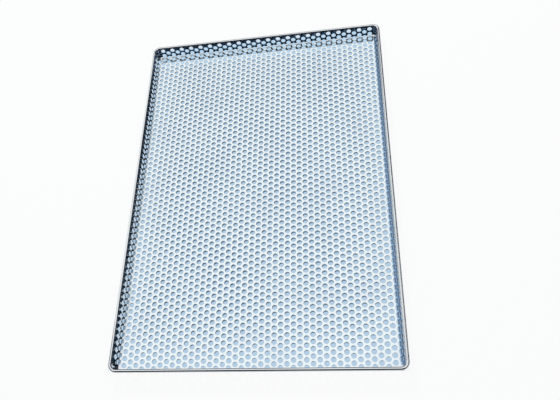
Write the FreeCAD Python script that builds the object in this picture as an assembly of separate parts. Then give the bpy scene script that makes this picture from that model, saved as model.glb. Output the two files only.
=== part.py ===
"""Perforated baking tray for long loaves: one sheet with four low flared walls and a rim rolled over a wire.

The tray stands on its underside. X runs across it, Y along it and Z up. The origin is the middle of the underside.
All lengths are in millimetres.
"""
import FreeCAD, Part

import math
import os

# The tray over its rolled rim, standing on its floor
rim_width = 400.0
rim_length = 600.0
tray_height = 20.0

# The sheet, and how it is folded up
sheet = 0.8
flare = math.radians(8.0)
bend_radius = 4.0
floor_corner_radius = 1.5

# The wire in the rim, and the curl of sheet round it
wire_diameter = 2.8
wire_clearance = 0.05
curl_gap = 0.3

# The punched pattern: columns along Y, each one half a pitch out of step with the next. The lands are the metal
# left between the bend and the first row of holes on a wall, and between any hole and the curl or a corner.
hole_diameter = 7.6
hole_pitch = 10.0
column_step = 8.75
end_land = 0.2
side_land = 1.5
edge_land = 0.2

# The flat floor is punched all over as well. Fewer, larger openings stand for its holes: the same pattern made
# larger by this scale, so that it has the same share of metal, with at least this much left round its outside
floor_pattern_scale = 3.8
floor_land = 1.0

Vector = FreeCAD.Vector
UP = Vector(0, 0, 1)

curl_inside = wire_diameter / 2 + wire_clearance
bead_radius = curl_inside + sheet
bead_height = tray_height - bead_radius

# The curl runs on round the wire until its lip is curl_gap from the back of the wall
curl_sweep = 2 * math.pi - math.acos((curl_inside - curl_gap) / bead_radius)

# The wall leans out along wall_up, and wall_in is square to it, pointing into the tray
wall_up = Vector(math.sin(flare), 0, math.cos(flare))
wall_in = Vector(-math.cos(flare), 0, math.sin(flare))

# From the outside of the rim in to the end of the flat floor, and the length of the flat part of the wall
web_rise = bead_height + bead_radius * wall_in.z - sheet - bend_radius * (1 - wall_in.z)
web_length = web_rise / wall_up.z
bend_length = (bend_radius + sheet / 2) * (math.pi / 2 - flare)
wall_run = bead_radius * (1 - wall_in.x) + web_length * wall_up.x - bend_radius * wall_in.x

floor_half_width = rim_width / 2 - wall_run
floor_half_length = rim_length / 2 - wall_run
rim_corner_radius = floor_corner_radius + wall_run
corner_x = rim_width / 2 - rim_corner_radius
corner_y = rim_length / 2 - rim_corner_radius


def on_circle(centre, radius, angle):
    """Return the point on a circle in the XZ plane, with the angle taken from +X towards +Z."""
    return centre + Vector(math.cos(angle), 0, math.sin(angle)) * radius


def arc(centre, radius, start, end):
    """Return the edge that follows a circle in the XZ plane from one angle to another."""
    middle = (start + end) / 2
    points = [on_circle(centre, radius, angle) for angle in (start, middle, end)]
    return Part.Arc(*points).toShape()


def line(start, end):
    """Return the straight edge between two points."""
    return Part.LineSegment(start, end).toShape()


def wall_section(reach):
    """Return the section of bend, wall and curl as a face in the XZ plane, with its rim at x = reach."""
    bend_centre = Vector(reach - wall_run, 0, sheet + bend_radius)
    bead_centre = Vector(reach - bead_radius, 0, bead_height)
    outer_bend = bend_radius + sheet
    curl_start = math.pi - flare
    curl_end = curl_start - curl_sweep

    floor_top = on_circle(bend_centre, bend_radius, -math.pi / 2)
    floor_under = on_circle(bend_centre, outer_bend, -math.pi / 2)
    edges = [
        arc(bend_centre, bend_radius, -math.pi / 2, -flare),
        line(on_circle(bend_centre, bend_radius, -flare), on_circle(bead_centre, bead_radius, curl_start)),
        arc(bead_centre, bead_radius, curl_start, curl_end),
        line(on_circle(bead_centre, bead_radius, curl_end), on_circle(bead_centre, curl_inside, curl_end)),
        arc(bead_centre, curl_inside, curl_end, curl_start),
        line(on_circle(bead_centre, curl_inside, curl_start), on_circle(bend_centre, outer_bend, -flare)),
        arc(bend_centre, outer_bend, -flare, -math.pi / 2),
        line(floor_under, floor_top),
    ]
    return Part.Face(Part.Wire(edges))


def row_positions(spacing, half_length, shifted):
    """Return places along a row of holes, spread about its middle, with a hole there unless it is shifted."""
    count = int(half_length / spacing) + 1
    shift = spacing / 2 if shifted else 0.0
    places = [number * spacing + shift for number in range(-count - 1, count + 1)]
    return [place for place in places if abs(place) <= half_length]


def on_sheet(half_size, distance):
    """Return the point in the middle of the sheet, that far along it from the end of the flat floor at +X."""
    floor_end = half_size - wall_run
    bend_centre = Vector(floor_end, 0, sheet + bend_radius)
    neutral_radius = bend_radius + sheet / 2
    if distance < 0:
        return Vector(floor_end + distance, 0, sheet / 2)
    if distance < bend_length:
        return on_circle(bend_centre, neutral_radius, distance / neutral_radius - math.pi / 2)
    return on_circle(bend_centre, neutral_radius, -flare) + wall_up * (distance - bend_length)


def punch(half_size, distance, along):
    """Return a cutter for one round hole, centred that far along the sheet and along the wall.

    A hole on the bend was punched before the sheet was folded, so its mouth is an ellipse as wide as its chord.
    """
    radius = hole_diameter / 2
    low = on_sheet(half_size, distance - radius)
    high = on_sheet(half_size, distance + radius)
    centre = (low + high) / 2 + Vector(0, along, 0)
    inward = Vector(0, 1, 0).cross(low - high).normalize()
    if distance - radius >= bend_length:
        reach = (sheet + curl_gap) / 2
        mouth = Part.Circle(centre + inward * reach, inward, radius)
    else:
        reach = bend_radius / 2 + sheet
        middle = centre + inward * reach
        mouth = Part.Ellipse(middle + Vector(0, radius, 0), middle + (high - low) / 2, middle)
    return Part.Face(Part.Wire(mouth.toShape())).extrude(inward * -2 * reach)


def wall_punches(half_size, half_straight, spacing, rise, first_land, shifted):
    """Return the cutters for a wall at +X: every hole from the foot of the bend up to the curl.

    The holes stand in rows along the wall, spacing apart. Each row is one rise above the last and half a spacing
    out of step with it. first_land is the metal between the bend and the first row above it, which is shifted
    along by half a spacing or not.
    """
    radius = hole_diameter / 2
    first_row = bend_length + first_land + radius
    lowest_row = -math.floor((first_row + radius) / rise)
    highest_row = math.floor((web_length - first_land - 2 * radius - edge_land) / rise)
    cutters = []
    for row in range(lowest_row, highest_row + 1):
        row_shifted = shifted != (row % 2 == 1)
        for along in row_positions(spacing, half_straight - radius - edge_land, row_shifted):
            cutters.append(punch(half_size, first_row + row * rise, along))
    return cutters


def floor_openings():
    """Return the cutters for the openings of the flat floor, clear of the holes that run into the bends."""
    radius = hole_diameter * floor_pattern_scale / 2
    spacing = hole_pitch * floor_pattern_scale
    step = column_step * floor_pattern_scale
    border = hole_diameter + floor_land + radius
    last_column = math.floor((floor_half_width - border) / step)
    cutters = []
    for column in range(-last_column, last_column + 1):
        for along in row_positions(spacing, floor_half_length - border, column % 2 == 0):
            cutters.append(Part.makeCylinder(radius, 3 * sheet, Vector(column * step, along, -sheet)))
    return cutters


def straight_wall(half_size, half_straight, cutters):
    """Return the perforated wall at x = half_size, from -half_straight to half_straight along Y."""
    section = wall_section(half_size)
    section.translate(Vector(0, -half_straight, 0))
    return section.extrude(Vector(0, 2 * half_straight, 0)).cut(cutters)


def turned(shape, degrees):
    """Return a copy of a shape, turned about the tray's upright axis."""
    copy = shape.copy()
    copy.rotate(Vector(0, 0, 0), UP, degrees)
    return copy


def floor_panel(cutters):
    """Return the flat floor, with its corners rounded about the axes of the formed corners."""
    low = Vector(-floor_half_width, -floor_half_length, 0)
    plate = Part.makeBox(2 * floor_half_width, 2 * floor_half_length, sheet, low)
    uprights = [edge for edge in plate.Edges if edge.tangentAt(edge.FirstParameter).cross(UP).Length < 0.5]
    return plate.makeFillet(floor_corner_radius, uprights).cut(cutters)


def formed_corner(side_x, side_y):
    """Return the wall section turned through a quarter about a corner's upright axis."""
    first_quarter = {(1, 1): 0, (-1, 1): 90, (-1, -1): 180, (1, -1): 270}
    corner = wall_section(rim_corner_radius).revolve(Vector(0, 0, 0), UP, 90)
    corner.rotate(Vector(0, 0, 0), UP, first_quarter[(side_x, side_y)])
    corner.translate(Vector(side_x * corner_x, side_y * corner_y, 0))
    return corner


def rim_wire():
    """Return the closed wire that the rim is rolled over."""
    bend = rim_corner_radius - bead_radius
    path = []
    corners = ((1, 1), (-1, 1), (-1, -1), (1, -1))
    for number, (side_x, side_y) in enumerate(corners):
        next_x, next_y = corners[(number + 1) % 4]
        centre = Vector(side_x * corner_x, side_y * corner_y, bead_height)
        next_centre = Vector(next_x * corner_x, next_y * corner_y, bead_height)
        start = math.radians(90 * number)
        ends = [centre + Vector(math.cos(turn), math.sin(turn), 0) * bend
                for turn in (start, start + math.pi / 4, start + math.pi / 2)]
        out = Vector(math.cos(start + math.pi / 2), math.sin(start + math.pi / 2), 0) * bend
        path.append(Part.Arc(*ends).toShape())
        path.append(line(ends[2], next_centre + out))
    route = Part.Wire(path)
    begin = route.OrderedVertexes[0].Point
    circle = Part.Circle(begin, Vector(0, 1, 0), wire_diameter / 2).toShape()
    return route.makePipeShell([Part.Wire(circle)], True, False)


def build():
    """Build every piece of the tray and return them by name."""
    side_punches = wall_punches(rim_width / 2, corner_y, hole_pitch, column_step, side_land, True)
    end_punches = wall_punches(rim_length / 2, corner_x, 2 * column_step, hole_pitch / 2, end_land, False)
    side = straight_wall(rim_width / 2, corner_y, side_punches)
    end = straight_wall(rim_length / 2, corner_x, end_punches)
    edge_punches = [turned(cutter, angle) for cutter in side_punches for angle in (0, 180)]
    edge_punches += [turned(cutter, angle) for cutter in end_punches for angle in (90, -90)]
    return {
        "floor_panel": floor_panel(edge_punches + floor_openings()),
        "right_wall": side,
        "left_wall": turned(side, 180),
        "back_wall": turned(end, 90),
        "front_wall": turned(end, -90),
        "back_right_corner": formed_corner(1, 1),
        "back_left_corner": formed_corner(-1, 1),
        "front_left_corner": formed_corner(-1, -1),
        "front_right_corner": formed_corner(1, -1),
        "rim_wire": rim_wire(),
    }


os.makedirs("parts", exist_ok=True)
for name, shape in build().items():
    for solid in shape.Solids:
        solid.exportStep(f"parts/{name}.step")
    print(f"{name}: {len(shape.Solids)} solid, {len(shape.Faces)} faces, valid {shape.isValid()}, "
          f"{shape.Volume / 1000:.2f} cm3")
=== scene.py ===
"""Looks of a perforated baking tray: its punched floor, its steel finishes, and the studio it stands in.

The tray stands on its underside, with X across it, Y along it and Z up. Lengths are in metres.
"""

import logging
import math
from collections.abc import Iterator
from contextlib import contextmanager
from dataclasses import dataclass
from enum import Enum

import bpy
from mathutils import Euler, Matrix, Vector, noise


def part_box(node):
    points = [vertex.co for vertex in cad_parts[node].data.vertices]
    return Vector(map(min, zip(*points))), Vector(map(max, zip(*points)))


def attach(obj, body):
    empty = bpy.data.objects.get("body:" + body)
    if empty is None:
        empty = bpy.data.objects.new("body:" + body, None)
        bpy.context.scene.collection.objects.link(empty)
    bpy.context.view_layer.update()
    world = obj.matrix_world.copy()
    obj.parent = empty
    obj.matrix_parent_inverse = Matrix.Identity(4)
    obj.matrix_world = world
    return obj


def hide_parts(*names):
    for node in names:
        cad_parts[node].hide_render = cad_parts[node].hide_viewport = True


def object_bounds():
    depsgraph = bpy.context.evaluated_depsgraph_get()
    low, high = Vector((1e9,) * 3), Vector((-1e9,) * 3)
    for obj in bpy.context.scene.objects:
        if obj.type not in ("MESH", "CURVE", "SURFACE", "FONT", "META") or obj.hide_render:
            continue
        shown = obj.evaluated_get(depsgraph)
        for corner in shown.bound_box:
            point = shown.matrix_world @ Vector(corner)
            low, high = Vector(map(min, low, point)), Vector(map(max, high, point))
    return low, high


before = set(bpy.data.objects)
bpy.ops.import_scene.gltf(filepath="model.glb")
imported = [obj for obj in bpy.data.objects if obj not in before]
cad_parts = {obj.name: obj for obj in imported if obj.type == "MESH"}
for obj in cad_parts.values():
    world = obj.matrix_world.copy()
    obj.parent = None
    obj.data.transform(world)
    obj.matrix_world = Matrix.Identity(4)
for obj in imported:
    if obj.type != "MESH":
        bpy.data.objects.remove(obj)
cad_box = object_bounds()

log = logging.getLogger("baking_tray")
Socket = bpy.types.NodeSocket
Value = float | Socket
Colour = tuple[float, float, float, float]

WHITE = (1.0, 1.0, 1.0, 1.0)
QUARTER_TURN = math.pi / 2
# Points closer together than this are taken as one.
WELD = 1e-6


class Grain(Enum):
    """The way that the rolled grain of the sheet runs over a piece, as an axis of the frame."""

    ALONG_TRAY = Vector((0.0, 1.0, 0.0))
    UP_WALL = Vector((0.0, 0.0, 1.0))


class Side(Enum):
    """A side of the tray, as its axis and its direction along that axis."""

    LEFT = ("X", -1)
    RIGHT = ("X", 1)
    FRONT = ("Y", -1)
    BACK = ("Y", 1)

    def edge(self) -> float:
        """Find where the tray's box ends on this side.

        Returns:
            That place along the side's axis.
        """
        axis, way = self.value
        low, high = cad_box
        corner = high if way > 0 else low
        return getattr(corner, axis.lower())


def select_none() -> None:
    """Deselect everything, so that a new primitive is selected alone."""
    bpy.ops.object.select_all(action="DESELECT")


def select_only(*pieces: bpy.types.Object) -> None:
    """Deselect everything, then select these pieces and make the first one active.

    Args:
        pieces: The objects that the next operator works on.
    """
    select_none()
    for piece in pieces:
        piece.select_set(True)
    bpy.context.view_layer.objects.active = pieces[0]


@contextmanager
def editing(piece: bpy.types.Object) -> Iterator[None]:
    """Open a piece in edit mode for the length of a block.

    Args:
        piece: The mesh object that the block's operators work on.

    Yields:
        Nothing.
    """
    select_only(piece)
    bpy.ops.object.mode_set(mode="EDIT")
    try:
        yield
    finally:
        bpy.ops.object.mode_set(mode="OBJECT")


def apply_modifier(piece: bpy.types.Object, kind: str, **settings: object) -> None:
    """Add a modifier to a piece and apply it at once.

    Args:
        piece: The object to change.
        kind: The modifier's type, such as ARRAY.
        settings: Values for the modifier's own settings.
    """
    select_only(piece)
    modifier = piece.modifiers.new(kind.lower(), kind)
    for name, value in settings.items():
        setattr(modifier, name, value)
    bpy.ops.object.modifier_apply(modifier=modifier.name)


class ShaderTree:
    """A node tree that is filled by short calls, each of which gives back a node or an output socket."""

    def __init__(self, tree: bpy.types.NodeTree) -> None:
        """Hold the tree to be filled."""
        self.tree = tree

    @classmethod
    def of(cls, owner: bpy.types.Material | bpy.types.World) -> "ShaderTree":
        """Empty the node tree of a material or a world.

        Args:
            owner: What the tree belongs to.

        Returns:
            The empty tree, to be filled.
        """
        owner.use_nodes = True
        owner.node_tree.nodes.clear()
        return cls(owner.node_tree)

    def node(self, kind: str, inputs: dict[str | int, object], **settings: object) -> bpy.types.Node:
        """Add a node, set what it is told, and join or set its inputs.

        Args:
            kind: The node's type, such as ShaderNodeMath.
            inputs: Values or sockets by the input's name or number.
            settings: Values for the node's own settings.

        Returns:
            The new node.
        """
        made = self.tree.nodes.new(kind)
        for name, value in settings.items():
            setattr(made, name, value)
        for name, value in inputs.items():
            if isinstance(value, Socket):
                self.tree.links.new(value, made.inputs[name])
            else:
                made.inputs[name].default_value = value
        return made

    def math(self, operation: str, *values: Value) -> Socket:
        """Add a Math node.

        Args:
            operation: What it works out, such as ADD.
            values: Its inputs, in order.

        Returns:
            The result.
        """
        return self.node("ShaderNodeMath", dict(enumerate(values)), operation=operation).outputs[0]

    def fold(self, operation: str, *values: Value) -> Socket:
        """Join any number of values, one after another, with Math nodes.

        Args:
            operation: What each node works out from two values, such as MULTIPLY.
            values: What is joined.

        Returns:
            The last result.
        """
        result = values[0]
        for value in values[1:]:
            result = self.math(operation, result, value)
        return result

    def vector(self, operation: str, *values: object) -> Socket:
        """Add a Vector Math node.

        Args:
            operation: What it works out, such as ADD.
            values: Its inputs, in order.

        Returns:
            The resulting vector.
        """
        return self.node("ShaderNodeVectorMath", dict(enumerate(values)), operation=operation).outputs[0]

    def noise(self, place: Socket, scale: Value, detail: float = 2.0) -> Socket:
        """Add plain noise.

        Args:
            place: Where it is looked up.
            scale: How many bumps it has to the metre.
            detail: How many finer layers it has.

        Returns:
            A value between 0 and 1.
        """
        inputs = {"Vector": place, "Scale": scale, "Detail": detail}
        return self.node("ShaderNodeTexNoise", inputs).outputs["Fac"]

    def ramp(self, value: Value, start: Value, end: Value, low: Value = 0.0, high: Value = 1.0) -> Socket:
        """Turn one range of values into another, with a smooth step.

        Args:
            value: What is turned.
            start: The value that gives low.
            end: The value that gives high. It may be the smaller of the two.
            low: The result at start and before it.
            high: The result at end and after it.

        Returns:
            The result.
        """
        inputs = {"Value": value, "From Min": start, "From Max": end, "To Min": low, "To Max": high}
        node = self.node("ShaderNodeMapRange", inputs, interpolation_type="SMOOTHSTEP")
        return node.outputs["Result"]

    def mix(self, share: Value, first: object, second: object) -> Socket:
        """Mix two colours.

        Args:
            share: How much of the second there is, from 0 to 1.
            first: The first colour, as a value or a socket.
            second: The second colour, in the same way.

        Returns:
            The mixed colour.
        """
        node = self.node("ShaderNodeMix", {"Factor": share}, data_type="RGBA")
        for socket, colour in ((node.inputs[6], first), (node.inputs[7], second)):
            if isinstance(colour, Socket):
                self.tree.links.new(colour, socket)
            else:
                socket.default_value = colour
        return node.outputs[2]

    def mix_shader(self, share: Value, first: bpy.types.Node, second: bpy.types.Node) -> bpy.types.Node:
        """Mix two shaders.

        Args:
            share: How much of the second there is, from 0 to 1.
            first: The node of the first shader.
            second: The node of the second shader.

        Returns:
            The node of the mixed shader.
        """
        return self.node("ShaderNodeMixShader", {0: share, 1: first.outputs[0], 2: second.outputs[0]})

    def group(self, tree: bpy.types.NodeTree, inputs: dict[str, object]) -> bpy.types.Node:
        """Place a node group.

        Args:
            tree: The group's own tree.
            inputs: Values or sockets by the input's name.

        Returns:
            The new node.
        """
        return self.node("ShaderNodeGroup", inputs, node_tree=tree)


class GroupTree(ShaderTree):
    """A shader node group with named sockets, which is filled like any other tree."""

    def __init__(self, name: str, inputs: dict[str, float | None], outputs: tuple[str, ...]) -> None:
        """Make the group, empty but for its sockets.

        Args:
            name: What the group is called.
            inputs: Each input's name and its usual value, or None for a vector.
            outputs: The names of the outputs, which are all plain values.
        """
        super().__init__(bpy.data.node_groups.new(name, "ShaderNodeTree"))
        for socket, usual in inputs.items():
            kind = "NodeSocketVector" if usual is None else "NodeSocketFloat"
            made = self.tree.interface.new_socket(socket, in_out="INPUT", socket_type=kind)
            if usual is not None:
                made.default_value = usual
        for socket in outputs:
            self.tree.interface.new_socket(socket, in_out="OUTPUT", socket_type="NodeSocketFloat")
        self.given = self.tree.nodes.new("NodeGroupInput").outputs
        self.end = self.tree.nodes.new("NodeGroupOutput")

    def give(self, name: str, value: Socket) -> None:
        """Join a value to one of the group's outputs.

        Args:
            name: The output's name.
            value: What it gives.
        """
        self.tree.links.new(value, self.end.inputs[name])


@dataclass(frozen=True)
class RolledGrain:
    """The fine lines that rolling leaves in sheet, and a slow change of tone between them.

    Attributes:
        line_width: From one line to the next.
        line_stretch: The scale of the lines across, along and up.
        line_detail: How many finer layers of lines there are.
        tone_stretch: The scale of the tone across, along and up.
        tones_per_metre: How fast the tone changes.
    """

    line_width: float = 0.0004
    line_stretch: tuple[float, float, float] = (1.0, 0.02, 1.0)
    line_detail: float = 3.0
    tone_stretch: tuple[float, float, float] = (1.0, 0.15, 1.0)
    tones_per_metre: float = 90.0

    def group(self) -> bpy.types.NodeTree:
        """Make the lines as a node group.

        Returns:
            A group that takes a place whose Y runs along the lines, and gives their height and the tone.
        """
        tree = GroupTree("rolled_grain", {"Place": None, "Line width": self.line_width}, ("Height", "Tone"))
        lines_per_metre = tree.math("DIVIDE", 1.0, tree.given["Line width"])
        along_lines = tree.vector("MULTIPLY", tree.given["Place"], self.line_stretch)
        along_tones = tree.vector("MULTIPLY", tree.given["Place"], self.tone_stretch)
        tree.give("Height", tree.noise(along_lines, lines_per_metre, self.line_detail))
        tree.give("Tone", tree.noise(along_tones, self.tones_per_metre))
        return tree.tree


@dataclass(frozen=True)
class HandlingMarks:
    """The marks of use: hair scratches from the rack, and wiped smears.

    Attributes:
        scratch_size: From one scratch to the next.
        scratch_turns: The turn of each layer of scratches, in radians.
        scratch_stretch: The scale of the scratches across, along and up.
        scratch_width: How wide a scratch is, as a share of its size.
        bends_per_metre: How close together the bends in the scratches lie.
        bend_reach: How far the bends go.
        patches_per_metre: How close together the scratched patches lie.
        patch_edge: The noise at which a patch begins, and at which it is full.
        smears_per_metre: How close together the smears lie.
        smear_detail: How many finer layers of smears there are.
        smear_edge: The noise at which a smear begins, and at which it is full.
    """

    scratch_size: float = 0.03
    scratch_turns: tuple[float, ...] = (0.35, -0.9, 1.3)
    scratch_stretch: tuple[float, float, float] = (1.0, 0.12, 1.0)
    scratch_width: float = 0.006
    bends_per_metre: float = 25.0
    bend_reach: float = 0.01
    patches_per_metre: float = 30.0
    patch_edge: tuple[float, float] = (0.45, 0.65)
    smears_per_metre: float = 14.0
    smear_detail: float = 4.0
    smear_edge: tuple[float, float] = (0.45, 0.7)

    def group(self) -> bpy.types.NodeTree:
        """Make the marks as a node group.

        Returns:
            A group that gives a scratch mask and a smear mask at a place.
        """
        inputs = {"Place": None, "Scratch size": self.scratch_size}
        tree = GroupTree("handling_marks", inputs, ("Scratches", "Smears"))
        place = tree.given["Place"]
        bends = tree.node("ShaderNodeTexNoise", {"Vector": place, "Scale": self.bends_per_metre})
        reach = (self.bend_reach, self.bend_reach, self.bend_reach)
        bent = tree.vector("ADD", place, tree.vector("MULTIPLY", bends.outputs["Color"], reach))
        per_metre = tree.math("DIVIDE", 1.0, tree.given["Scratch size"])
        layers = []
        for turn in self.scratch_turns:
            turned = tree.node("ShaderNodeVectorRotate", {"Vector": bent, "Angle": turn}).outputs[0]
            inputs = {"Vector": tree.vector("MULTIPLY", turned, self.scratch_stretch), "Scale": per_metre}
            cells = tree.node("ShaderNodeTexVoronoi", inputs, feature="DISTANCE_TO_EDGE")
            layers.append(tree.ramp(cells.outputs["Distance"], self.scratch_width, 0.0))
        scratches = tree.fold("MAXIMUM", *layers)
        patches = tree.ramp(tree.noise(place, self.patches_per_metre), *self.patch_edge)
        smears = tree.noise(bent, self.smears_per_metre, self.smear_detail)
        tree.give("Scratches", tree.math("MULTIPLY", scratches, patches))
        tree.give("Smears", tree.ramp(smears, *self.smear_edge))
        return tree.tree


@dataclass(frozen=True)
class HolePattern:
    """The floor's punched pattern, in columns that are each half a pitch out of step with the next.

    Attributes:
        hole_diameter: The size of each hole.
        hole_pitch: From hole to hole along a column, which runs along the tray.
        column_step: From column to column, across the tray.
        lip_width: How far out from its hole the sheet is turned down by the punch.
    """

    hole_diameter: float = 0.0076
    hole_pitch: float = 0.010
    column_step: float = 0.00875
    lip_width: float = 0.0004

    def lip_group(self) -> bpy.types.NodeTree:
        """Make the lips of the holes as a node group.

        Returns:
            A group that gives, at a place on the flat floor, how near it is to the lip of its hole.
        """
        inputs = {
            "Place": None,
            "Column step": self.column_step,
            "Hole pitch": self.hole_pitch,
            "Hole radius": self.hole_diameter / 2,
            "Lip width": self.lip_width,
        }
        tree = GroupTree("punched_rim", inputs, ("Lip",))
        given = tree.given
        place = tree.node("ShaderNodeSeparateXYZ", {0: given["Place"]}).outputs
        column = tree.math("ROUND", tree.math("DIVIDE", place["X"], given["Column step"]))
        off_column = tree.math("SUBTRACT", place["X"], tree.math("MULTIPLY", column, given["Column step"]))
        stagger = tree.math("MULTIPLY", tree.math("PINGPONG", column, 1.0), 0.5)
        row = tree.math("SUBTRACT", tree.math("DIVIDE", place["Y"], given["Hole pitch"]), stagger)
        share_of_row = tree.math("SUBTRACT", row, tree.math("ROUND", row))
        off_row = tree.math("MULTIPLY", share_of_row, given["Hole pitch"])
        squares = [tree.math("POWER", off, 2.0) for off in (off_row, off_column)]
        from_middle = tree.math("SQRT", tree.math("ADD", *squares))
        outside = tree.math("ADD", given["Hole radius"], given["Lip width"])
        tree.give("Lip", tree.ramp(from_middle, outside, given["Hole radius"]))
        return tree.tree


@dataclass(frozen=True)
class SteelFinish:
    """A finish of bright rolled stainless sheet.

    Attributes:
        name: What the material is called.
        grain: The way that the rolled lines run.
        colour: The colour of clean steel.
        dull_colour: The colour of worn and scratched steel.
        polished: The roughness of clean steel.
        smeared: The roughness of worn steel.
        least_worn: The wear below which steel is as clean as it gets.
        most_worn: The wear above which it is as dull as it gets.
        grain_height: How far the rolled lines stand out.
        wave_length: From one to the next of the slow waves in the sheet.
        wave_height: How far those waves stand out.
        scratch_height: How deep the scratches go.
        lip_height: How far each hole's edge is turned down, or 0 for a piece without such lips.
        painted_reflection_tint: What multiplies the colour below the rim, if anything does.
        painted_reflection_top: The height above the ground where the tint ends.
        painted_reflection_fade: How far below that the tint is full.
    """

    name: str
    grain: Grain = Grain.ALONG_TRAY
    colour: Colour = (0.80, 0.83, 0.845, 1.0)
    dull_colour: Colour = (0.70, 0.735, 0.76, 1.0)
    polished: float = 0.05
    smeared: float = 0.14
    least_worn: float = 0.1
    most_worn: float = 0.9
    grain_height: float = 0.000004
    wave_length: float = 0.06
    wave_height: float = 0.00004
    scratch_height: float = 0.000006
    lip_height: float = 0.0
    # painted_reflection_tint: What multiplies the colour below the rim, if anything does: a painted reflection that makes the steel darker and bluer there.         painted_reflection_top: The height above the ground where the painted reflection ends.         painted_reflection_fade: How far below that the painted reflection is full.
    painted_reflection_tint: Colour | None = None
    painted_reflection_top: float = 0.0155
    painted_reflection_fade: float = 0.002

    def material(self, groups: dict[str, bpy.types.NodeTree]) -> bpy.types.Material:
        """Make the finish as a material.

        Args:
            groups: The shared node groups by name.

        Returns:
            The new material.
        """
        made = bpy.data.materials.new(self.name)
        tree = ShaderTree.of(made)
        place = tree.node("ShaderNodeTexCoord", {}).outputs["Object"]
        turn = self.grain.value.rotation_difference(Vector((0.0, 1.0, 0.0))).to_euler()
        along = tree.node("ShaderNodeMapping", {"Vector": place, "Rotation": turn}).outputs[0]

        grain = tree.group(groups["rolled_grain"], {"Place": along}).outputs
        marks = tree.group(groups["handling_marks"], {"Place": place}).outputs
        waves = tree.noise(place, 1.0 / self.wave_length, 1.0)

        worn = tree.math("MULTIPLY", tree.math("ADD", grain["Tone"], marks["Smears"]), 0.5)
        colour = tree.mix(tree.math("MAXIMUM", worn, marks["Scratches"]), self.colour, self.dull_colour)
        # Below the rim the colour is multiplied by a blue: a painted reflection that makes the steel darker
        # and bluer there.
        if self.painted_reflection_tint:
            above_ground = tree.node("ShaderNodeSeparateXYZ", {0: place}).outputs["Z"]
            below_rim = tree.ramp(above_ground, self.painted_reflection_top, self.painted_reflection_top - self.painted_reflection_fade)
            colour = tree.mix(below_rim, colour, tree.vector("MULTIPLY", colour, self.painted_reflection_tint[:3]))
        roughness = tree.ramp(worn, self.least_worn, self.most_worn, self.polished, self.smeared)

        height = tree.math("MULTIPLY", grain["Height"], self.grain_height)
        height = tree.math("ADD", height, tree.math("MULTIPLY", waves, self.wave_height))
        scratches = tree.math("MULTIPLY", marks["Scratches"], self.scratch_height)
        height = tree.math("SUBTRACT", height, scratches)
        if self.lip_height:
            lip = tree.group(groups["punched_rim"], {"Place": place}).outputs["Lip"]
            height = tree.math("SUBTRACT", height, tree.math("MULTIPLY", lip, self.lip_height))
        normal = tree.node("ShaderNodeBump", {"Height": height, "Distance": 1.0}).outputs[0]

        inputs = {"Base Color": colour, "Metallic": 1.0, "Roughness": roughness, "Normal": normal}
        shader = tree.node("ShaderNodeBsdfPrincipled", inputs)
        tree.node("ShaderNodeOutputMaterial", {"Surface": shader.outputs[0]})
        return made


FLOOR_STEEL = SteelFinish(
    "floor_steel", colour=(0.86, 0.93, 0.95, 1.0), dull_colour=(0.79, 0.86, 0.90, 1.0), lip_height=0.00004
)
LEFT_STEEL = SteelFinish(
    "side_steel", polished=0.03, smeared=0.07, grain_height=0.000002, wave_height=0.00002
)
# The right wall: rougher steel with a painted reflection below the rim, which multiplies its colour by a
# dark blue.
RIGHT_STEEL = SteelFinish(
    "painted_reflection_steel", polished=0.22, smeared=0.35, painted_reflection_tint=(0.46, 0.67, 0.92, 1.0)
)
END_STEEL = SteelFinish(
    "end_steel", grain=Grain.UP_WALL, polished=0.03, smeared=0.07, grain_height=0.000002, wave_height=0.00002
)
CORNER_STEEL = SteelFinish(
    "corner_steel", polished=0.08, smeared=0.16, grain_height=0.000002
)
WIRE_STEEL = SteelFinish(
    "wire_steel", polished=0.25, smeared=0.4
)


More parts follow.
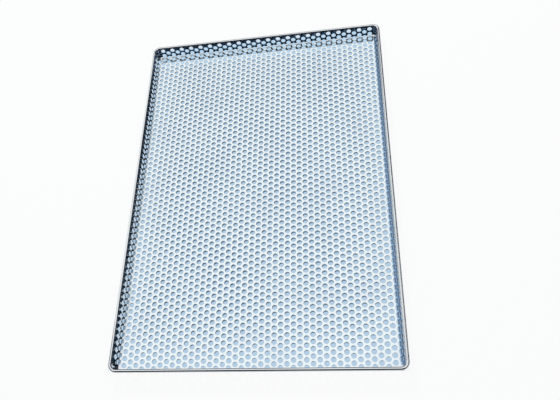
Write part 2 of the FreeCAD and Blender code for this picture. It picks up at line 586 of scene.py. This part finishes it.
@dataclass
class PunchedFloor:
    """The thin punched floor of the tray, flat at its edges and bowed up a little between them.

    Attributes:
        pattern: The pattern of its holes.
        hole_sides: How many sides each hole has.
        corner_radius: How round the corners are where two bends meet.
        corner_sides: How many flats make such a corner.
        crease_angle: The angle above which an edge stays sharp.
        bow: How far the middle of the floor rises.
        bow_lean: How much more the front rises and the back less, as a share of the bow.
        side_steepness: The power that keeps the bow up towards the left and right edges.
        end_steepness: The power that keeps it up towards the front and back edges.
        dent_size: From one to the next of the dents in the bow.
        dent_share: How far they go, as a share of the bow.
    """

    pattern: HolePattern
    hole_sides: int = 14
    corner_radius: float = 0.0015
    corner_sides: int = 4
    crease_angle: float = math.radians(40.0)
    bow: float = 0.0012
    bow_lean: float = 0.6
    side_steepness: int = 6
    end_steepness: int = 8
    dent_size: float = 0.08
    dent_share: float = 0.35

    def __post_init__(self) -> None:
        """Take the floor's extent from the frame, and number its last column and row from the middle."""
        low, self.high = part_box("floor_panel")
        self.thickness = self.high.z - low.z
        self.last_column = round(self.high.x / self.pattern.column_step)
        self.last_row = round(self.high.y / self.pattern.hole_pitch)

    def outline(self, place: Vector) -> bpy.types.Object:
        """Draw the outline of a cell, which is the piece of sheet round one hole.

        Args:
            place: The middle of the cell.

        Returns:
            The outline, with a point in the middle of each long side, where two cells of the next column
            meet.
        """
        select_none()
        bpy.ops.mesh.primitive_plane_add(size=1.0, location=place)
        outline = bpy.context.object
        outline.scale = (self.pattern.column_step, self.pattern.hole_pitch, 1.0)
        select_only(outline)
        bpy.ops.object.transform_apply(location=False, rotation=False, scale=True)
        with editing(outline):
            bpy.ops.mesh.delete(type="ONLY_FACE")
        points = outline.data.vertices
        for edge in outline.data.edges:
            first, second = (points[number].co for number in edge.vertices)
            edge.select = abs(first.x - second.x) < WELD
        with editing(outline):
            bpy.ops.mesh.select_mode(type="EDGE")
            bpy.ops.mesh.subdivide(number_cuts=1)
        return outline

    def cell(self, place: Vector, punched: bool) -> bpy.types.Object:
        """Make the piece of sheet round one hole, or the same piece left blank.

        Args:
            place: The middle of the cell.
            punched: Whether it has its hole.

        Returns:
            The flat cell.
        """
        radius = self.pattern.hole_diameter / 2
        cell = self.outline(place)
        with editing(cell):
            if punched:
                bpy.ops.mesh.primitive_circle_add(vertices=self.hole_sides, radius=radius, location=place)
            bpy.ops.mesh.select_all(action="SELECT")
            bpy.ops.mesh.fill()
        bpy.ops.object.transform_apply(location=True, rotation=False, scale=False)
        return cell

    def column(self, number: int, rows: int, blank_ends: bool = False) -> bpy.types.Object:
        """Make one column of cells along the tray.

        Args:
            number: The column's number, counted across from the middle of the tray.
            rows: How many holes it has.
            blank_ends: Whether one more cell at each end is left blank.

        Returns:
            The column as one flat piece.
        """
        pitch = self.pattern.hole_pitch
        x = number * self.pattern.column_step
        end = pitch * (rows + 1) / 2
        column = self.cell(Vector((x, pitch - end, 0.0)), punched=True)
        apply_modifier(column, "ARRAY", count=rows, use_relative_offset=False, use_constant_offset=True,
                       constant_offset_displace=(0.0, pitch, 0.0), use_merge_vertices=True,
                       merge_threshold=WELD)
        if blank_ends:
            blanks = [self.cell(Vector((x, side * end, 0.0)), punched=False) for side in (-1, 1)]
            select_only(column, *blanks)
            bpy.ops.object.join()
        return column

    def spread(self, column: bpy.types.Object, count: int) -> bpy.types.Object:
        """Copy a column across the tray, every second place.

        Args:
            column: The column farthest to the left.
            count: How many columns there are to be.

        Returns:
            All those columns as one piece.
        """
        apply_modifier(column, "ARRAY", count=count, use_relative_offset=False, use_constant_offset=True,
                       constant_offset_displace=(2 * self.pattern.column_step, 0.0, 0.0))
        return column

    def turn_up(self, sheet: bpy.types.Object) -> None:
        """Turn every face that looks down so that it looks up.

        Args:
            sheet: The flat sheet.
        """
        with editing(sheet):
            bpy.ops.mesh.select_mode(type="FACE")
            bpy.ops.mesh.select_all(action="DESELECT")
        for face in sheet.data.polygons:
            face.select = face.normal.z < 0
        with editing(sheet):
            bpy.ops.mesh.flip_normals()

    def trim(self, sheet: bpy.types.Object) -> None:
        """Cut the sheet off at the four bends and round its corners.

        Args:
            sheet: The flat sheet, larger than the floor all round.
        """
        with editing(sheet):
            for side in (-1, 1):
                for reach, out in ((self.high.x, Vector((side, 0, 0))), (self.high.y, Vector((0, side, 0)))):
                    bpy.ops.mesh.select_all(action="SELECT")
                    bpy.ops.mesh.bisect(plane_co=out * reach, plane_no=out, clear_outer=True, threshold=WELD)
            bpy.ops.mesh.select_mode(type="VERT")
            bpy.ops.mesh.select_all(action="DESELECT")
        for point in sheet.data.vertices:
            at_side = abs(abs(point.co.x) - self.high.x) < WELD
            point.select = at_side and abs(abs(point.co.y) - self.high.y) < WELD
        with editing(sheet):
            bpy.ops.mesh.bevel(offset=self.corner_radius, segments=self.corner_sides, affect="VERTICES",
                               offset_type="WIDTH")

    def flat_sheet(self) -> bpy.types.Object:
        """Lay the columns side by side and join them into one flat sheet, as large as the floor.

        Even columns have a hole in their middle, and so one more than odd columns. The two outermost have no
        hole at their ends, where the corners of the tray begin.

        Returns:
            The sheet, without thickness.
        """
        even_columns = self.last_column - 1
        sheet = self.spread(self.column(2 - self.last_column, 2 * self.last_row + 1), even_columns)
        between = self.spread(self.column(1 - self.last_column, 2 * self.last_row), even_columns + 1)
        fewer = 2 * self.last_row - 1
        outer = [self.column(side * self.last_column, fewer, blank_ends=True) for side in (-1, 1)]
        select_only(sheet, between, *outer)
        bpy.ops.object.join()
        with editing(sheet):
            bpy.ops.mesh.select_all(action="SELECT")
            bpy.ops.mesh.remove_doubles(threshold=WELD)
        self.turn_up(sheet)
        self.trim(sheet)
        return sheet

    def bow_up(self, floor: bpy.types.Object) -> None:
        """Bow the thin floor up between its bends, a little unevenly, as trays get in the oven.

        Args:
            floor: The flat floor, whose edges stay where they are.
        """
        for point in floor.data.vertices:
            across = 1.0 - (point.co.x / self.high.x) ** self.side_steepness
            along = 1.0 - (point.co.y / self.high.y) ** self.end_steepness
            lean = 1.0 - self.bow_lean * point.co.y / self.high.y
            dents = self.dent_share * noise.noise(Vector((point.co.x, point.co.y, 0.0)) / self.dent_size)
            point.co.z += self.bow * across * along * lean * (1.0 + dents)

    def build(self, steel: bpy.types.Material) -> bpy.types.Object:
        """Make the floor and give it its finish.

        Args:
            steel: The finish of the floor.

        Returns:
            The finished floor, which stands for the frame's own.
        """
        floor = self.flat_sheet()
        floor.location.z = self.high.z
        select_only(floor)
        bpy.ops.object.transform_apply(location=True, rotation=False, scale=False)
        apply_modifier(floor, "SOLIDIFY", thickness=self.thickness, offset=-1.0)
        self.bow_up(floor)
        select_only(floor)
        bpy.ops.object.shade_smooth_by_angle(angle=self.crease_angle)
        floor.name = floor.data.name = "punched_floor"
        floor.data.materials.clear()
        floor.data.materials.append(steel)
        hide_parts("floor_panel")
        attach(floor, "root")
        return floor


@dataclass(frozen=True)
class FoldedSheet:
    """The walls and corners that are folded up from the floor, and the wire in their rim.

    Attributes:
        left_wall: The name of the wall on the left.
        right_wall: The name of the wall on the right.
        end_walls: The names of the walls at the front and back.
        corners: The names of the four formed corners.
        wire: The name of the wire.
    """

    left_wall: str = "left_wall"
    right_wall: str = "right_wall"
    end_walls: tuple[str, ...] = ("front_wall", "back_wall")
    corners: tuple[str, ...] = ("front_left_corner", "front_right_corner", "back_left_corner",
                                "back_right_corner")
    wire: str = "rim_wire"

    def dress(self, steels: dict[str, bpy.types.Material]) -> None:
        """Give each piece of the frame its finish.

        Args:
            steels: The materials by name.
        """
        dressing = (
            ((self.left_wall,), LEFT_STEEL),
            ((self.right_wall,), RIGHT_STEEL),
            (self.end_walls, END_STEEL),
            (self.corners, CORNER_STEEL),
            ((self.wire,), WIRE_STEEL),
        )
        for names, finish in dressing:
            for name in names:
                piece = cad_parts[name]
                for slot in piece.material_slots:
                    slot.material = steels[finish.name]
                log.info("%s: %d faces, %s", name, len(piece.data.polygons), finish.name)


@dataclass(frozen=True)
class Fade:
    """How something on the ground ends towards one side of the tray.

    Attributes:
        side: The side of the tray.
        gone: Where it has gone, as a distance out from the rim on that side, and so less than 0 inside it.
        full: Where it is full, measured in the same way.
    """

    side: Side
    gone: float
    full: float


@dataclass(frozen=True)
class Ground:
    """What the tray stands on: a pale matt floor, with a polished blue film under the tray.

    The film is dark to the light that falls on it, and glows where the camera sees it: a painted glow, which
    no lamp gives. The strip under the foot of the right wall is a painted shadow, which only the camera
    sees.

    Attributes:
        size: How far the floor reaches, from edge to edge.
        drop: How far the floor lies below the tray, so that the two never flicker.
        colour: The colour of the matt floor.
        roughness: The roughness of the matt floor.
        white_share: How much of the floor is seen as plain white round the tray.
        film: Where the film ends on each side.
        film_colour: The colour of the film to the light that falls on it.
        painted_glow_colour: The colour of its painted glow, which only the camera sees.
        gloss: Where the film's polish ends, inside the film.
        gloss_share: How much of the film's look is polish.
        gloss_colour: The colour of what the polish mirrors.
        gloss_roughness: The roughness of the polish.
        speck_colour: The colour of the specks in the polish.
        speck_share: How much they change it.
        specks_per_metre: How close together they lie.
        foot: Where the painted shadow under the foot of the right wall ends.
        painted_foot_shadow_colour: The colour of that painted shadow, which only the camera sees.
    """

    size: float = 16.0
    drop: float = 0.00005
    colour: Colour = (0.62, 0.66, 0.70, 1.0)
    roughness: float = 0.9
    white_share: float = 0.93
    film: tuple[Fade, ...] = (
        Fade(Side.LEFT, gone=0.010, full=-0.006),
        Fade(Side.RIGHT, gone=0.002, full=-0.012),
        Fade(Side.FRONT, gone=-0.004, full=-0.014),
        Fade(Side.BACK, gone=0.020, full=0.002),
    )
    film_colour: Colour = (0.03, 0.09, 0.19, 1.0)
    # The film's painted glow, which only the camera sees.
    painted_glow_colour: Colour = (0.49, 0.69, 0.87, 1.0)
    gloss: Fade = Fade(Side.BACK, gone=-0.026, full=-0.036)
    gloss_share: float = 0.82
    gloss_colour: Colour = (0.455, 0.60, 0.75, 1.0)
    gloss_roughness: float = 0.1
    speck_colour: Colour = (0.41, 0.565, 0.725, 1.0)
    speck_share: float = 0.12
    specks_per_metre: float = 60.0
    # The strip under the foot of the right wall, which the camera sees as a painted shadow.
    foot: tuple[Fade, ...] = (
        Fade(Side.RIGHT, gone=-0.0105, full=-0.009),
        Fade(Side.RIGHT, gone=-0.0060, full=-0.0075),
        Fade(Side.FRONT, gone=-0.004, full=-0.008),
        Fade(Side.BACK, gone=-0.004, full=-0.008),
    )
    painted_foot_shadow_colour: Colour = (0.11, 0.19, 0.31, 1.0)

    def area(self, tree: ShaderTree, place: Socket, fades: tuple[Fade, ...]) -> Socket:
        """Mark out an area of the floor.

        Args:
            tree: The tree to fill.
            place: The place on the floor.
            fades: The fades that the area ends in.

        Returns:
            1 where all the fades are full, and 0 where one of them has gone.
        """
        axes = tree.node("ShaderNodeSeparateXYZ", {0: place}).outputs
        shares = []
        for fade in fades:
            axis, way = fade.side.value
            edge = fade.side.edge()
            shares.append(tree.ramp(axes[axis], edge + way * fade.gone, edge + way * fade.full))
        return tree.fold("MULTIPLY", *shares)

    def material(self) -> bpy.types.Material:
        """Make the finish of the floor and its film.

        Returns:
            The new material.
        """
        made = bpy.data.materials.new("studio_floor")
        tree = ShaderTree.of(made)
        place = tree.node("ShaderNodeTexCoord", {}).outputs["Object"]
        film = self.area(tree, place, self.film)
        # The strip under the right wall's foot, where the camera sees a painted shadow.
        foot = self.area(tree, place, self.foot)

        lit_colour = tree.mix(film, self.colour, self.film_colour)
        matt = tree.node("ShaderNodeBsdfPrincipled", {"Base Color": lit_colour, "Roughness": self.roughness})
        # The camera sees plain white round the tray, the film's painted blue glow under it, and a painted
        # shadow in the strip under the right wall's foot.
        seen_colour = tree.mix(foot, tree.mix(film, WHITE, self.painted_glow_colour), self.painted_foot_shadow_colour)
        glow = tree.node("ShaderNodeEmission", {"Color": seen_colour, "Strength": 1.0})
        to_camera = tree.node("ShaderNodeLightPath", {}).outputs["Is Camera Ray"]
        glow_share = tree.math("MULTIPLY", to_camera, tree.ramp(film, 0.0, 1.0, self.white_share, 1.0))
        base = tree.mix_shader(glow_share, matt, glow)

        specks = tree.math("MULTIPLY", tree.noise(place, self.specks_per_metre), self.speck_share)
        mirrored = tree.mix(specks, self.gloss_colour, self.speck_colour)
        inputs = {"Base Color": mirrored, "Metallic": 1.0, "Roughness": self.gloss_roughness}
        gloss = tree.node("ShaderNodeBsdfPrincipled", inputs)
        inside = self.area(tree, place, (self.gloss,))
        # No polish in the painted shadow under the right wall's foot.
        polish = tree.fold("MULTIPLY", film, inside, self.gloss_share, tree.math("SUBTRACT", 1.0, foot))
        surface = tree.mix_shader(polish, base, gloss)
        tree.node("ShaderNodeOutputMaterial", {"Surface": surface.outputs[0]})
        return made

    def lay(self) -> None:
        """Lay the floor that the tray stands on."""
        select_none()
        bpy.ops.mesh.primitive_plane_add(size=self.size, location=(0.0, 0.0, -self.drop))
        floor = bpy.context.object
        floor.name = "studio_floor"
        floor.data.materials.append(self.material())


@dataclass(frozen=True)
class Flag:
    """A dark upright cloth that only reflections see, so that bright steel has something dark to show.

    Attributes:
        name: What the flag is called.
        foot: The middle of its lower edge.
        width: How wide it is.
        height: How tall it is.
        along_tray: Whether its width runs along the tray, and not across it.
        colour: The colour of the cloth.
    """

    name: str
    foot: tuple[float, float, float]
    width: float
    height: float
    along_tray: bool = False
    colour: Colour = (0.006, 0.009, 0.014, 1.0)

    def stand(self) -> None:
        """Stand the flag up in its place."""
        turn = QUARTER_TURN if self.along_tray else 0.0
        middle = Vector(self.foot) + Vector((0.0, 0.0, self.height / 2))
        select_none()
        bpy.ops.mesh.primitive_plane_add(size=1.0, location=middle, rotation=(QUARTER_TURN, 0.0, turn))
        flag = bpy.context.object
        flag.scale = (self.width, self.height, 1.0)
        flag.name = self.name
        made = bpy.data.materials.new(self.name)
        tree = ShaderTree.of(made)
        cloth = tree.node("ShaderNodeEmission", {"Color": self.colour, "Strength": 1.0})
        tree.node("ShaderNodeOutputMaterial", {"Surface": cloth.outputs[0]})
        flag.data.materials.append(made)
        flag.visible_camera = False
        flag.visible_diffuse = False
        flag.visible_shadow = False


@dataclass(frozen=True)
class Studio:
    """The ground under the tray, a bright overcast, dark flags on every side, and one soft lamp behind.

    Attributes:
        ground: What the tray stands on.
        flags: The dark flags that the steel mirrors.
        sky_colour: The colour of the overcast where it lights.
        sky_fill: How bright it is there, as a share of the white that is seen.
        lamp_place: Where the lamp hangs.
        lamp_size: How wide it is.
        lamp_power: How strong it is, in watts.
    """

    ground: Ground = Ground()
    flags: tuple[Flag, ...] = (
        Flag("low_right_flag", foot=(0.95, 0.95, 0.0), width=4.7, height=0.68, along_tray=True),
        Flag("high_right_flag", foot=(0.48, 0.67, 0.40), width=1.7, height=0.62, along_tray=True),
        Flag("front_flag", foot=(-0.1, -1.15, 0.0), width=2.6, height=3.0),
        Flag("back_flag", foot=(-0.8, 5.3, 0.0), width=9.0, height=3.7),
        Flag("left_flag", foot=(-1.6, -1.1, 0.0), width=2.8, height=1.4, along_tray=True),
        Flag("tall_flag", foot=(1.55, 1.9, 0.0), width=1.9, height=2.4),
    )
    sky_colour: Colour = (0.93, 0.97, 1.0, 1.0)
    sky_fill: float = 0.55
    lamp_place: tuple[float, float, float] = (-0.5, 1.6, 1.5)
    lamp_size: float = 0.5
    lamp_power: float = 30.0

    def seen_directly(self, tree: ShaderTree) -> Socket:
        """Tell the rays that show a surface to the camera, straight or by way of metal or glass.

        Args:
            tree: The tree to fill.

        Returns:
            1 for those rays, and 0 for all others.
        """
        rays = tree.node("ShaderNodeLightPath", {}).outputs
        mirrored = tree.math("MAXIMUM", rays["Is Glossy Ray"], rays["Is Transmission Ray"])
        return tree.math("MAXIMUM", rays["Is Camera Ray"], mirrored)

    def light_sky(self) -> None:
        """Make the world: plain white where it is seen, and a cool soft fill where it lights."""
        world = bpy.data.worlds.new("overcast")
        bpy.context.scene.world = world
        tree = ShaderTree.of(world)
        seen = self.seen_directly(tree)
        strength = tree.math("MAXIMUM", seen, self.sky_fill)
        colour = tree.mix(seen, self.sky_colour, WHITE)
        sky = tree.node("ShaderNodeBackground", {"Color": colour, "Strength": strength})
        tree.node("ShaderNodeOutputWorld", {"Surface": sky.outputs[0]})

    def hang_lamp(self) -> None:
        """Hang the soft lamp behind the tray, aimed at its middle and hidden from its reflections."""
        data = bpy.data.lights.new("back_lamp", "AREA")
        data.shape = "DISK"
        data.size = self.lamp_size
        data.energy = self.lamp_power
        lamp = bpy.data.objects.new("back_lamp", data)
        lamp.location = self.lamp_place
        aim = -Vector(self.lamp_place)
        lamp.rotation_euler = aim.to_track_quat("-Z", "Y").to_euler()
        lamp.visible_glossy = False
        bpy.context.scene.collection.objects.link(lamp)

    def build(self) -> None:
        """Set up the sky, the ground, the flags and the lamp."""
        self.light_sky()
        self.ground.lay()
        for flag in self.flags:
            flag.stand()
        self.hang_lamp()
        bpy.context.scene.view_settings.view_transform = "Standard"


@dataclass(frozen=True)
class Viewpoint:
    """The camera, held over the front of the tray, turned a little, with its frame shifted off the axis.

    Attributes:
        azimuth: How far the camera is turned about the upright axis, from looking along the tray.
        elevation: How far down it looks.
        roll: How far it is turned about its own axis.
        place: Where it is held.
        lens: Its focal length, in millimetres.
        shift: How far the frame is moved sideways and up, as a share of its width.
    """

    azimuth: float = math.radians(-21.41)
    elevation: float = math.radians(55.91)
    roll: float = math.radians(21.51)
    place: tuple[float, float, float] = (0.15387, -0.57226, 0.87926)
    lens: float = 43.742
    shift: tuple[float, float] = (0.1080, -0.0043)

    def build(self) -> bpy.types.Object:
        """Place the camera.

        Returns:
            The camera object, which is the scene's own.
        """
        data = bpy.data.cameras.new("camera")
        data.lens = self.lens
        data.shift_x, data.shift_y = self.shift
        camera = bpy.data.objects.new("camera", data)
        level = Euler((QUARTER_TURN - self.elevation, 0.0, -self.azimuth), "XYZ").to_matrix()
        turn = Matrix.Rotation(-self.roll, 3, "Z")
        camera.matrix_world = Matrix.Translation(Vector(self.place)) @ (level @ turn).to_4x4()
        bpy.context.scene.collection.objects.link(camera)
        bpy.context.scene.camera = camera
        return camera


def main() -> None:
    """Build the tray's looks and the studio round it, and report each piece."""
    logging.basicConfig(level=logging.INFO, format="%(name)s: %(message)s")
    pattern = HolePattern()
    groups = {
        "rolled_grain": RolledGrain().group(),
        "handling_marks": HandlingMarks().group(),
        "punched_rim": pattern.lip_group(),
    }
    finishes = (FLOOR_STEEL, LEFT_STEEL, RIGHT_STEEL, END_STEEL, CORNER_STEEL, WIRE_STEEL)
    steels = {finish.name: finish.material(groups) for finish in finishes}
    floor = PunchedFloor(pattern).build(steels[FLOOR_STEEL.name])
    log.info("%s: %d faces, %s", floor.name, len(floor.data.polygons), FLOOR_STEEL.name)
    FoldedSheet().dress(steels)
    Studio().build()
    Viewpoint().build()


if __name__ == "__main__":
    main()
